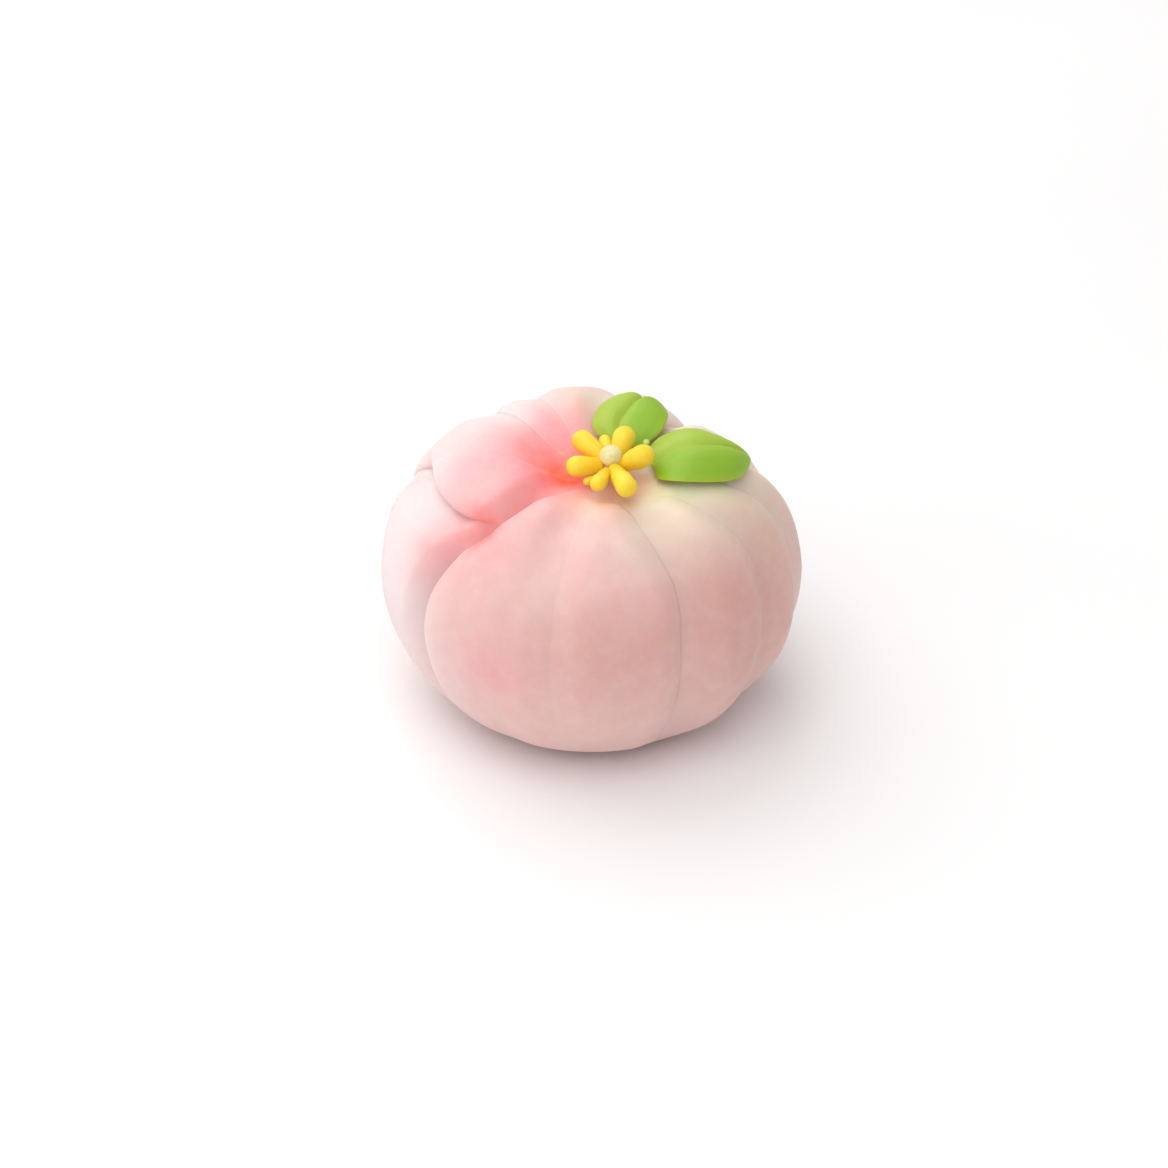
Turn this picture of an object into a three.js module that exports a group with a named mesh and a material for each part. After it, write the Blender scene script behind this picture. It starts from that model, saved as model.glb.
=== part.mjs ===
// A fresh Japanese sweet: a ball of soft bean dough pressed into a peach blossom.
// Petals fold over one another round a dimple, and two leaves and a tuft of stamens sit on top.
// Millimetres, +Z up. -Y is the front. The origin is under the middle, on the surface it stands on.
// Angles are turned from the front towards -X, so 90 degrees is the left side.

import * as THREE from 'three';
import { mergeVertices } from 'three/addons/utils/BufferGeometryUtils.js';

// Driving dimensions of the dough body.
const RADIUS = 23.2;
const HEIGHT = 31.6;
const DIMPLE_DEPTH = 2.75;
const CREST_RADIUS = 10.1;
const BASE_RADIUS = 13;
const EQUATOR_HEIGHT = 14.6;
const POLE = new THREE.Vector2(1.8, -2);
const EQUATOR = 0.56;
// The bottom of the dimple lies nearer the front than its rim does.
const PIT = { shift: -2.4, to: 0.25 };
// The front of the dimple is filled up, so that the dough runs on smoothly to the stamens.
const FRONT_FILL = { angle: -8, spread: 55, height: 0.75, at: 0.11, width: 0.06 };

// How far the body is from round: a lower front and a flatter back.
const FRONT_DROP = 0.064;
const BACK_CUT = 0.065;
const BACK_DROP = { towards: -155, share: 0.022 };

// Shares of the radius cut away towards an angle: the rear right is drawn in, the right is a
// little fuller, and the foot on the left is tucked under. A cut fades over spread degrees
// below its angle and over after degrees above it.
const GIRTH_CUTS = [
  { angle: -132, cut: 0.167, spread: 26, after: 22, from: 0, to: 0.35 },
  { angle: -88, cut: -0.013, spread: 24, after: 24, from: 0.2, to: 0.5 },
  { angle: 62, cut: 0.035, spread: 34, after: 34, from: 0.58, to: 0.84 },
];

// Clearance between the dough and the pieces that rest on it: the stamens, and the thin leaves.
const GAP = 0.3;
const LEAF_GAP = 0.14;

// Where the edge of the left petal turns across the body.
const PETAL_TURN = { gap: 6, sweep: 50, tail: 14, from: 0.295, corner: 0.425, to: 0.75 };

const DEGREE = Math.PI / 180;

const { clamp, lerp, smoothstep, euclideanModulo } = THREE.MathUtils;

// The body's half outline, from the bottom of the dimple over the crest to the edge of the base.
function bodyOutline() {
  const floor = HEIGHT - DIMPLE_DEPTH;
  const points = [
    [0, floor],
    [0.3 * CREST_RADIUS, floor + 0.035 * DIMPLE_DEPTH],
    [0.62 * CREST_RADIUS, floor + 0.42 * DIMPLE_DEPTH],
    [CREST_RADIUS, HEIGHT],
    [0.626 * RADIUS, 0.962 * HEIGHT],
    [0.817 * RADIUS, 0.842 * HEIGHT],
    [0.952 * RADIUS, 0.665 * HEIGHT],
    [RADIUS, EQUATOR_HEIGHT],
    [0.957 * RADIUS, 0.59 * EQUATOR_HEIGHT],
    [0.822 * RADIUS, 0.253 * EQUATOR_HEIGHT],
    [1.185 * BASE_RADIUS, 0.062 * EQUATOR_HEIGHT],
    [BASE_RADIUS, 0],
  ];
  const curve = new THREE.SplineCurve(points.map(([r, z]) => new THREE.Vector2(r, z)));
  curve.arcLengthDivisions = 400;
  return curve;
}

const OUTLINE = bodyOutline();

function angleBetween(a, b) {
  return euclideanModulo(a - b + 180, 360) - 180;
}

// Share of the radius that is missing in a direction at t.
function girthLoss(angle, t) {
  let loss = BACK_CUT * facing(angle, 180, 3) * smoothstep(t, 0, 0.35);
  for (const { angle: towards, cut, spread, after, from, to } of GIRTH_CUTS) {
    const turn = angleBetween(angle, towards);
    const off = turn / (turn > 0 ? after : spread);
    loss += cut * Math.exp(-off * off) * smoothstep(t, from, to);
  }
  return loss;
}

// 1 towards an angle, and less all round to 0 at the opposite side.
function facing(angle, towards, power) {
  return ((1 + Math.cos((angle - towards) * DEGREE)) / 2) ** power;
}

// The ring of the body at t, from 0 at the bottom of the dimple to 1 at the base.
function ringCentre(t) {
  const fade = (1 + Math.cos(Math.PI * Math.min(t / EQUATOR, 1))) / 2;
  const centre = POLE.clone().multiplyScalar(fade);
  centre.y += PIT.shift * (1 - smoothstep(t, 0, PIT.to));
  return centre;
}

// How much the front of the dimple is filled up.
function frontFill(angle, t) {
  const aside = angleBetween(angle, FRONT_FILL.angle) / FRONT_FILL.spread;
  const along = (t - FRONT_FILL.at) / FRONT_FILL.width;
  return FRONT_FILL.height * Math.exp(-aside * aside - along * along);
}

// A point of the body before its petals are pressed in.
function basePoint(angle, t) {
  const section = OUTLINE.getPointAt(clamp(t, 0, 1));
  const radius = section.x * (1 - girthLoss(angle, t));
  const front = facing(angle, 0, 2) * smoothstep(t, 0.08, 0.24) * (1 - smoothstep(t, 0.3, EQUATOR));
  const frontLoss = FRONT_DROP * front;
  const backLoss = BACK_DROP.share * facing(angle, BACK_DROP.towards, 3) * smoothstep(t, 0, 0.25);
  const height = section.y * (1 - backLoss) * (1 - frontLoss) + frontFill(angle, t);
  const centre = ringCentre(t);
  const turn = angle * DEGREE;
  const x = centre.x - radius * Math.sin(turn);
  const y = centre.y - radius * Math.cos(turn);
  return new THREE.Vector3(x, y, height);
}

function baseNormal(angle, t) {
  if (t < 0.004) {
    return new THREE.Vector3(0, 0, 1);
  }
  const step = 0.003;
  const along = basePoint(angle, Math.min(t + step, 1)).sub(basePoint(angle, t - step));
  const around = basePoint(angle + 0.2, t).sub(basePoint(angle - 0.2, t));
  return around.cross(along).normalize();
}

// A value given at even stations from t = 0 to t = 1, as a smooth curve through them.
function through(values, t) {
  const spans = values.length - 1;
  const place = clamp(t, 0, 1) * spans;
  const i = Math.min(Math.floor(place), spans - 1);
  const w = place - i;
  const before = values[Math.max(i - 1, 0)];
  const start = values[i];
  const end = values[i + 1];
  const after = values[Math.min(i + 2, spans)];
  const leave = (end - before) / 2;
  const arrive = (after - start) / 2;
  const cubic = 2 * start - 2 * end + leave + arrive;
  const square = -3 * start + 3 * end - 2 * leave - arrive;
  return ((cubic * w + square) * w + leave) * w + start;
}

// The angle of each fold at t = 0, 0.2, 0.4, 0.6, 0.8 and 1.
const alongAngles = (...angles) => (t) => through(angles, t);
const frontFold = alongAngles(70, 46.5, 51, 55, 51, 48);

function leftEdge(t) {
  const { gap, sweep, tail, from, corner, to } = PETAL_TURN;
  return frontFold(t) + gap + sweep * smoothstep(t, from, corner) + tail * smoothstep(t, corner, to);
}

const upperPath = alongAngles(98, 89, 101, 103, 103, 103);
const upperEdge = (t) => Math.max(upperPath(t), leftEdge(t) + PETAL_TURN.gap);

// Every fold between two petals, in turn round the body. The lip is the petal that lies on top:
// side is 1 where that petal is at the larger angle. Depth, lip, valley and tuck are millimetres.
// A fold rises over its start, eases over its end and keeps the share last. Soft turns the lip's
// steep drop into a gentle one.
const FOLDS = [
  {
    path: frontFold, side: -1, depth: 2.9, lip: 3, valley: 3.2, tuck: 0.5,
    start: [0.03, 0.2], end: [0.6, 0.9],
  },
  {
    path: leftEdge, side: 1, depth: 2.4, lip: 2.4, valley: 5, tuck: 0.4,
    start: [0.28, 0.34], end: [0.39, 0.48], last: 0.3,
  },
  {
    path: upperEdge, side: -1, depth: 1, lip: 1.6, valley: 4, tuck: 0.15,
    start: [0.02, 0.12], end: [0.3, 0.4],
  },
  { path: alongAngles(130, 127, 142, 150, 152, 152), side: 1, depth: 1.1, lip: 2.4, valley: 4.5, soft: 0.5 },
  { path: alongAngles(152, 149, 159, 165, 166, 167), side: 1, depth: 0.8, lip: 2.4, valley: 4.5, soft: 0.5 },
  { path: alongAngles(172, 184, 197, 198, 198, 198), side: 1, depth: 1, lip: 2.4, valley: 4 },
  { path: alongAngles(212, 225, 226, 225, 225, 225), side: -1, depth: 1.4, lip: 2.4, valley: 3.6 },
  { path: alongAngles(252, 266, 262, 258, 257, 257), side: 1, depth: 1, lip: 2.6, valley: 5, soft: 0.3 },
  {
    path: alongAngles(296, 289.5, 280, 282, 284, 286), side: 1, depth: 0.9, lip: 2.6, valley: 5, soft: 0.6,
    start: [0.12, 0.34],
  },
  {
    path: alongAngles(316, 310, 301, 303, 307, 310), side: 1, depth: 1.1, lip: 2.8, valley: 6, soft: 0.7,
    start: [0.06, 0.22],
  },
  {
    path: alongAngles(352, 341.5, 333, 334, 336, 337), side: 1, depth: 1.15, lip: 3, valley: 6, soft: 0.65,
    start: [0.02, 0.1],
  },
  {
    path: alongAngles(380, 374, 372, 371, 369, 369), side: -1, depth: 0.8, lip: 3, valley: 5, soft: 0.8,
    start: [0.02, 0.12], end: [0.6, 0.9],
  },
];

// A soft crease down the left part of the front petal.
const CREASES = [
  { path: alongAngles(30, 22, 23, 25, 28, 28), depth: 0.35, width: 2 },
];

const TRACE_STEPS = 70;

// A fold's path as points on the body, so that distances to it can be measured.
function trace(path) {
  const points = [];
  for (let i = 0; i <= TRACE_STEPS; i += 1) {
    const t = lerp(0.02, 1, i / TRACE_STEPS);
    points.push({ t, place: basePoint(path(t), t) });
  }
  return points;
}

for (const fold of [...FOLDS, ...CREASES]) {
  fold.trace = trace(fold.path);
}

function nearestOn(points, place) {
  let best = { distance: Infinity };
  const run = new THREE.Vector3();
  const away = new THREE.Vector3();
  for (let i = 0; i < points.length - 1; i += 1) {
    const from = points[i];
    run.subVectors(points[i + 1].place, from.place);
    away.subVectors(place, from.place);
    const w = clamp(away.dot(run) / run.lengthSq(), 0, 1);
    const foot = from.place.clone().addScaledVector(run, w);
    const distance = foot.distanceTo(place);
    if (distance < best.distance) {
      best = { distance, foot, t: lerp(from.t, points[i + 1].t, w) };
    }
  }
  return best;
}

// How strong a fold is along its line. Each one fades out before the base.
function strengthAlong(fold, t) {
  const [rise, full] = fold.start ?? [0.03, 0.2];
  const [ease, gone] = fold.end ?? [0.78, 1];
  const rest = lerp(1, fold.last ?? 0, smoothstep(t, ease, gone));
  return smoothstep(t, rise, full) * rest * (1 - smoothstep(t, 0.86, 1));
}

// How deep a fold is at a distance from its line: a rounded lip on one side, a valley on the other.
function foldProfile(fold, distance, onLip) {
  const reach = onLip ? fold.lip : fold.valley;
  if (distance >= reach) {
    return 0;
  }
  const q = distance / reach;
  const gentle = (1 - q * q) ** 2;
  return onLip ? lerp(1 - Math.sqrt(1 - (1 - q) ** 2), gentle, fold.soft ?? 0) : gentle;
}

// A point of the finished body.
function bodyPoint(angle, t) {
  const place = basePoint(angle, t);
  let depth = 0;
  const shift = new THREE.Vector3();
  for (const fold of FOLDS) {
    const near = nearestOn(fold.trace, place);
    const onLip = angleBetween(angle, fold.path(t)) * fold.side > 0;
    const strength = strengthAlong(fold, near.t);
    const share = foldProfile(fold, near.distance, onLip);
    depth += fold.depth * strength * share;
    if (onLip && near.distance > 1e-4) {
      const tuck = (fold.tuck ?? 0.2) * strength * 4 * share * (1 - share);
      shift.addScaledVector(near.foot.clone().sub(place), tuck / near.distance);
    }
  }
  for (const crease of CREASES) {
    const near = nearestOn(crease.trace, place);
    depth += crease.depth * strengthAlong(crease, near.t) * Math.exp(-((near.distance / crease.width) ** 2));
  }
  return place.addScaledVector(baseNormal(angle, t), -depth).add(shift);
}

// Columns of the body's mesh run down the folds, and crowd towards them.
const COLUMNS = [8, 6, 6, 6, 7, 8, 6, 7, 6, 7, 8, 10];
const ROW_BANDS = [[0.28, 10], [0.4, 8], [0.8, 14], [1, 7]];

function bodyColumns() {
  const columns = [];
  FOLDS.forEach((fold, i) => {
    const next = FOLDS[(i + 1) % FOLDS.length];
    const turn = i === FOLDS.length - 1 ? 360 : 0;
    for (let k = 0; k < COLUMNS[i]; k += 1) {
      const even = k / COLUMNS[i];
      const share = lerp(even, (1 - Math.cos(Math.PI * even)) / 2, 0.7);
      columns.push((t) => lerp(fold.path(t), next.path(t) + turn, share));
    }
  });
  return columns;
}

function bodyRows() {
  const rows = [];
  let from = 0;
  for (const [to, count] of ROW_BANDS) {
    for (let k = 1; k <= count; k += 1) {
      rows.push(lerp(from, to, k / count));
    }
    from = to;
  }
  return rows;
}

function solidFrom(positions, triangles) {
  const geometry = new THREE.BufferGeometry();
  const numbers = positions.flatMap((p) => [p.x, p.y, p.z]);
  geometry.setAttribute('position', new THREE.Float32BufferAttribute(numbers, 3));
  geometry.setIndex(triangles.flat());
  geometry.computeVertexNormals();
  return geometry;
}

function mesh(name, geometry, colour, roughness) {
  const material = new THREE.MeshStandardMaterial({ color: colour, roughness, metalness: 0 });
  const piece = new THREE.Mesh(geometry, material);
  piece.name = name;
  return piece;
}

function doughBody() {
  const columns = bodyColumns();
  const rows = bodyRows();
  const positions = [bodyPoint(0, 0)];
  for (const t of rows) {
    for (const column of columns) {
      positions.push(bodyPoint(column(t), t));
    }
  }
  positions.push(new THREE.Vector3(0, 0, 0));
  const n = columns.length;
  const at = (row, column) => 1 + row * n + (column % n);
  const bottom = positions.length - 1;
  const triangles = [];
  for (let c = 0; c < n; c += 1) {
    triangles.push([0, at(0, c + 1), at(0, c)]);
    for (let r = 0; r < rows.length - 1; r += 1) {
      triangles.push([at(r, c), at(r, c + 1), at(r + 1, c)]);
      triangles.push([at(r, c + 1), at(r + 1, c + 1), at(r + 1, c)]);
    }
    triangles.push([at(rows.length - 1, c), at(rows.length - 1, c + 1), bottom]);
  }
  return mesh('dough_body', solidFrom(positions, triangles), 0xf4c3bd, 0.6);
}

// The place on the unpressed body under a point of the plan.
function underPlan(x, y) {
  let low = 0;
  let high = EQUATOR;
  let angle = 0;
  for (let i = 0; i < 40; i += 1) {
    const t = (low + high) / 2;
    const centre = ringCentre(t);
    angle = Math.atan2(centre.x - x, centre.y - y) / DEGREE;
    const ring = basePoint(angle, t);
    const reach = Math.hypot(ring.x - centre.x, ring.y - centre.y);
    if (Math.hypot(x - centre.x, y - centre.y) < reach) {
      high = t;
    } else {
      low = t;
    }
  }
  return { angle, t: (low + high) / 2 };
}

function overPlan(x, y, lift) {
  const { angle, t } = underPlan(x, y);
  return basePoint(angle, t).addScaledVector(baseNormal(angle, t), lift);
}

// Leaves: two bulging halves with a valley along the rib and a shallow notch at the tip.
// Outlines are [forward, sideways] from the root, along and across the leaf's heading.
const LEAF_THICKNESS = 0.9;
const LEAF_EDGE = 0.2;
const LEAF_BULGE = 0.5;
const LEAVES = [
  {
    name: 'leaf_back', root: [3.4, 1], heading: 28.5,
    rib: [[0.2, -0.65], [2.6, -1.6], [4.5, -1.45], [7.15, -1.25]],
    left: [
      [0.45, -3.4], [1.15, -4.3], [2.1, -4.75], [3.1, -4.9], [4.55, -4.85], [6.1, -4.3], [6.85, -3.75],
      [7.5, -3.25], [7.7, -2.65], [7.6, -2], [7.15, -1.25],
    ],
    right: [
      [0.7, 1.75], [2.05, 2.6], [2.75, 3], [3.55, 3.15], [4.7, 2.95], [6.15, 2.35], [7.35, 1.3], [7.9, 0.3],
      [7.65, -0.4], [7.35, -0.85], [7.15, -1.25],
    ],
  },
  {
    name: 'leaf_right', root: [6.3, -5.6], heading: 75,
    rib: [[1.1, -2.8], [6, -2.3], [12, -2.9]],
    left: [
      [1.45, -5.4], [1.85, -6.05], [2.6, -6.55], [3.55, -6.7], [5.75, -6.55], [7.05, -6.1], [7.9, -5.2],
      [8.95, -4.35], [10.05, -3.8], [10.95, -3.5], [11.6, -3.3], [12, -2.9],
    ],
    right: [
      [0.95, -0.4], [0.9, 0.5], [1.45, 1.4], [2.5, 2.15], [4.25, 2.4], [6.15, 2.4], [8, 1.95], [9.8, 0.85],
      [10.8, -0.35], [11.5, -1.6], [12, -2.9],
    ],
  },
];
const LEAF_ROWS = 16;
const LEAF_HALF_COLUMNS = 7;

for (const spec of LEAVES) {
  for (const line of ['rib', 'left', 'right']) {
    const points = spec[line].map(([forward, side]) => new THREE.Vector2(forward, side));
    spec[line] = new THREE.SplineCurve(points);
  }
}

// A place on the plan of a leaf: w runs from root to tip, across from -1 at the left edge to 1 at the right.
function leafPlan(spec, w, across) {
  const edge = (across < 0 ? spec.left : spec.right).getPointAt(w);
  const place = spec.rib.getPointAt(w).lerp(edge, Math.abs(across));
  const turn = spec.heading * DEGREE;
  const x = spec.root[0] + place.x * Math.sin(turn) + place.y * Math.cos(turn);
  const y = spec.root[1] + place.x * Math.cos(turn) - place.y * Math.sin(turn);
  return [x, y];
}

function leafPoint(spec, w, across, top) {
  const half = Math.abs(across);
  const [x, y] = leafPlan(spec, w, across);
  const fullness = Math.sin(Math.PI * lerp(0.15, 1, w)) ** 0.5;
  const bulge = LEAF_BULGE * Math.sin(Math.PI * half ** 0.8) * fullness;
  const full = (1 - half ** 3) * (1 - w ** 8) * (1 - (1 - w) ** 8);
  const thickness = lerp(LEAF_EDGE, LEAF_THICKNESS, full);
  return overPlan(x, y, LEAF_GAP + bulge + (top ? thickness : 0));
}

function leaf(spec) {
  const columns = [];
  for (let k = -LEAF_HALF_COLUMNS; k <= LEAF_HALF_COLUMNS; k += 1) {
    columns.push(k / LEAF_HALF_COLUMNS);
  }
  const positions = [];
  const sheet = (top) => {
    const first = positions.length;
    for (let r = 0; r < LEAF_ROWS; r += 1) {
      for (const across of columns) {
        positions.push(leafPoint(spec, r / LEAF_ROWS, across, top));
      }
    }
    positions.push(leafPoint(spec, 1, 0, top));
    return first;
  };
  const above = sheet(true);
  const below = sheet(false);
  const n = columns.length;
  const tip = LEAF_ROWS * n;
  const triangles = [];
  const both = (a, b, c) => {
    triangles.push([above + a, above + b, above + c], [below + a, below + c, below + b]);
  };
  const wall = (a, b) => {
    triangles.push([above + a, below + a, below + b], [above + a, below + b, above + b]);
  };
  for (let r = 0; r < LEAF_ROWS - 1; r += 1) {
    for (let c = 0; c < n - 1; c += 1) {
      const a = r * n + c;
      both(a, a + 1, a + n + 1);
      both(a, a + n + 1, a + n);
    }
    wall(r * n + n, r * n);
    wall(r * n + n - 1, r * n + 2 * n - 1);
  }
  const last = (LEAF_ROWS - 1) * n;
  for (let c = 0; c < n - 1; c += 1) {
    both(last + c, last + c + 1, tip);
    wall(c, c + 1);
  }
  wall(tip, last);
  wall(last + n - 1, tip);
  return mesh(spec.name, solidFrom(positions, triangles), 0x9bcf3f, 0.5);
}

// The cream ball at the middle of the stamens, and a tiny green one behind a stamen.
const BALL_RADIUS = 1.2;
const BALL_PLACE = new THREE.Vector3(2.2, -3.9, 31.95);
const NUB_RADIUS = 0.38;
const NUB_PLACE = new THREE.Vector3(6, -1.4, 32);

function ball(name, radius, place, colour) {
  const geometry = new THREE.SphereGeometry(radius, 16, 12);
  geometry.deleteAttribute('normal');
  geometry.deleteAttribute('uv');
  const piece = mesh(name, mergeVertices(geometry), colour, 0.5);
  piece.position.copy(place);
  return piece;
}

// Stamens: tear-drops round the ball, narrow ends close to it and round ends on the dough.
// Heading and reach place the middle of the round end, and lift is how far it clears the dough.
// Root is how far from the ball's middle the narrow end starts, and drop how far below it.
// Neck is its share of the radius.
const STAMEN_SIDES = 12;
const STAMEN_RINGS = 10;
const STAMENS = [
  { heading: 140, reach: 5.33, radius: 1.17, lift: 0.6, root: 1.6, drop: 1.1, neck: 0.66 },
  { heading: 207.4, reach: 4.17, radius: 1.2, lift: 1.7, root: 1.75, drop: 1.1, neck: 0.6 },
  { heading: 287, reach: 4.56, radius: 1.28, lift: 1.3, root: 1.7, drop: 1.1, neck: 0.62 },
  { heading: 344.3, reach: 5.93, radius: 1.15, lift: 0.15, root: 1.8, drop: 1, neck: 0.62 },
  { heading: 15.5, reach: 5.15, radius: 0.87, lift: 0.15, root: 2.5, drop: 1.1, neck: 0.6 },
  { heading: 79.5, reach: 4.36, radius: 1.14, lift: 0.5, root: 1.6, drop: 1.15, neck: 0.64 },
  { heading: 170.5, reach: 4.4, radius: 0.68, lift: 1.2, root: 3.1, drop: 0.65, neck: 0.75 },
  { heading: 53.9, reach: 3.37, radius: 0.42, lift: 0.15, root: 2.4, drop: 2, neck: 0.8 },
];

// The thickness of a tear-drop along its length, as a share of its greatest, which is at the belly.
function dropShare(u, neck, belly) {
  if (u > belly) {
    return Math.sqrt(Math.max(0, 1 - ((u - belly) / (1 - belly)) ** 2));
  }
  const taper = lerp(neck, 1, Math.sin(Math.PI / 2 * u / belly) ** 1.3);
  return taper * Math.min(1, Math.sqrt(u / 0.06));
}

function stamen(spec, index) {
  const turn = spec.heading * DEGREE;
  const out = new THREE.Vector2(-Math.sin(turn), -Math.cos(turn));
  const root = BALL_PLACE.clone().add(new THREE.Vector3(out.x, out.y, 0).multiplyScalar(spec.root));
  root.z -= spec.drop;
  const plan = out.multiplyScalar(spec.reach).add(BALL_PLACE);
  const head = overPlan(plan.x, plan.y, GAP + spec.radius + spec.lift);
  const axis = head.clone().sub(root).normalize();
  const tip = head.clone().addScaledVector(axis, spec.radius);
  const side = new THREE.Vector3(0, 0, 1).cross(axis).normalize();
  const up = axis.clone().cross(side);
  const belly = root.distanceTo(head) / root.distanceTo(tip);
  const positions = [root];
  for (let r = 1; r < STAMEN_RINGS; r += 1) {
    const u = (1 - Math.cos(Math.PI * r / STAMEN_RINGS)) / 2;
    const centre = root.clone().lerp(tip, u);
    const radius = spec.radius * dropShare(u, spec.neck, belly);
    for (let k = 0; k < STAMEN_SIDES; k += 1) {
      const spin = 2 * Math.PI * k / STAMEN_SIDES;
      const point = centre.clone().addScaledVector(side, radius * Math.cos(spin));
      positions.push(point.addScaledVector(up, radius * Math.sin(spin)));
    }
  }
  positions.push(tip);
  const at = (ring, k) => 1 + ring * STAMEN_SIDES + (k % STAMEN_SIDES);
  const end = positions.length - 1;
  const triangles = [];
  for (let k = 0; k < STAMEN_SIDES; k += 1) {
    triangles.push([0, at(0, k + 1), at(0, k)]);
    for (let r = 0; r < STAMEN_RINGS - 2; r += 1) {
      triangles.push([at(r, k), at(r, k + 1), at(r + 1, k)]);
      triangles.push([at(r, k + 1), at(r + 1, k + 1), at(r + 1, k)]);
    }
    triangles.push([at(STAMEN_RINGS - 2, k), at(STAMEN_RINGS - 2, k + 1), end]);
  }
  return mesh(`stamen_${index + 1}`, solidFrom(positions, triangles), 0xf4d43c, 0.45);
}

const sweet = new THREE.Group();
sweet.add(doughBody());
for (const spec of LEAVES) {
  sweet.add(leaf(spec));
}
STAMENS.forEach((spec, index) => sweet.add(stamen(spec, index)));
sweet.add(ball('centre_ball', BALL_RADIUS, BALL_PLACE, 0xeae0ac));
sweet.add(ball('green_nub', NUB_RADIUS, NUB_PLACE, 0xc4dc6a));

// The whole sweet is centred over the origin.
const middle = new THREE.Box3().setFromObject(sweet).getCenter(new THREE.Vector3());
for (const piece of sweet.children) {
  piece.position.x -= middle.x;
  piece.position.y -= middle.y;
}

export default sweet;
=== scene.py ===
import math

import bpy
import numpy as np
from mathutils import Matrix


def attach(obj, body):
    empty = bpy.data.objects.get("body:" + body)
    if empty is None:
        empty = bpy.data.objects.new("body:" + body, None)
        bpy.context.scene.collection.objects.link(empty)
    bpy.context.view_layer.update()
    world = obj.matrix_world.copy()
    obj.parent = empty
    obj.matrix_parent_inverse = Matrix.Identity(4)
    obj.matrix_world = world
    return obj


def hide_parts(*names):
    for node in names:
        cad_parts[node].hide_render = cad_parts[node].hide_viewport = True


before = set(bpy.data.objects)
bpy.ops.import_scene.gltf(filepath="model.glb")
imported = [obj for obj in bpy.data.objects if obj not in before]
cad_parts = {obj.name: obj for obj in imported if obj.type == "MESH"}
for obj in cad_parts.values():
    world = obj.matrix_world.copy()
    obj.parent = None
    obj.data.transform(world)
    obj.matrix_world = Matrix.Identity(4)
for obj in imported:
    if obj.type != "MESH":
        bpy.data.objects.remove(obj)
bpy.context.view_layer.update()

# A fresh Japanese sweet of tinted bean dough, pressed into a peach blossom.
# Forms are worked out in millimetres and turned into metres when a mesh is made.
# Angles are degrees from the front (-Y) towards -X. The place down the body is t, 0 at the
# bottom of the dimple and 1 at the edge of the base.
MM = 0.001

# Driving dimensions of the dough body.
RADIUS = 23.2
HEIGHT = 31.6
DIMPLE_DEPTH = 2.75
CREST_RADIUS = 10.1
BASE_RADIUS = 13.0
EQUATOR_HEIGHT = 14.6
POLE = (1.8, -2.0)
EQUATOR = 0.56
# The bottom of the dimple lies nearer the front, and the front of it is filled up.
PIT = {"shift": -2.4, "to": 0.25}
FRONT_FILL = {"angle": -8, "spread": 55, "height": 0.75, "at": 0.11, "width": 0.06}
# Shares of the height and the radius taken off towards an angle, growing over a range of t.
# The power says how narrow each is.
FRONT_DROP = {"towards": 0, "share": 0.064, "power": 2, "grows": (0.08, 0.24), "ends": (0.3, EQUATOR)}
BACK_DROP = {"towards": -155, "share": 0.022, "power": 3, "grows": (0, 0.25)}
BACK_CUT = {"towards": 180, "share": 0.065, "power": 3, "grows": (0, 0.35)}
# Shares of the radius cut away towards an angle, or added where they are below 0. Each fades over
# spread degrees below its angle, over after degrees above it, and grows from one t to the other.
GIRTH_CUTS = [
    {"angle": -132, "cut": 0.167, "spread": 26, "after": 22, "grows": (0, 0.35)},
    {"angle": -88, "cut": -0.013, "spread": 24, "after": 24, "grows": (0.2, 0.5)},
    {"angle": 62, "cut": 0.035, "spread": 34, "after": 34, "grows": (0.58, 0.84)},
]
# Room between pieces that touch in the real sweet.
GAP = 0.3
LEAF_GAP = 0.14
# The left petal's edge keeps a gap of some degrees to the front fold, and then turns away from it:
# by the sweep down to the corner, and by the tail from there on.
PETAL_TURN = {"gap": 6, "sweep": 50, "tail": 14, "from": 0.295, "corner": 0.425, "to": 0.75}
# How far the whole sweet is moved so that its box is centred over the origin.
CENTRING = np.array([-0.0896, 0.8036, 0.0])

SEED = 31
DIMPLE_FLOOR = HEIGHT - DIMPLE_DEPTH


def smooth(value, low, high):
    q = np.clip((np.asarray(value, float) - low) / (high - low), 0, 1)
    return q * q * (3 - 2 * q)


def blend(a, b, share):
    return a + (b - a) * share


def turned(angle):
    """Sine and cosine of an angle in degrees."""
    return np.sin(np.radians(angle)), np.cos(np.radians(angle))


def between(a, b):
    """The signed difference of two angles, from -180 to 180."""
    return (a - b + 180) % 360 - 180


class Line:
    """A smooth curve through points, read by its share of length."""

    def __init__(self, points, divisions=200):
        self.points = np.array(points, float)
        self.shares = np.linspace(0, 1, divisions + 1)
        steps = np.linalg.norm(np.diff(self.raw(self.shares), axis=0), axis=1)
        lengths = np.concatenate([[0], np.cumsum(steps)])
        self.lengths = lengths / lengths[-1]

    def raw(self, share):
        spans = len(self.points) - 1
        place = np.clip(share, 0, 1) * spans
        i = np.minimum(place.astype(int), spans - 1)
        w = (place - i)[..., None]
        before = self.points[np.maximum(i - 1, 0)]
        start = self.points[i]
        end = self.points[i + 1]
        after = self.points[np.minimum(i + 2, spans)]
        leave = (end - before) / 2
        arrive = (after - start) / 2
        cubic = 2 * start - 2 * end + leave + arrive
        square = -3 * start + 3 * end - 2 * leave - arrive
        return ((cubic * w + square) * w + leave) * w + start

    def at(self, share):
        share = np.asarray(share, float)
        return self.raw(np.interp(share, self.lengths, self.shares))


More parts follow.
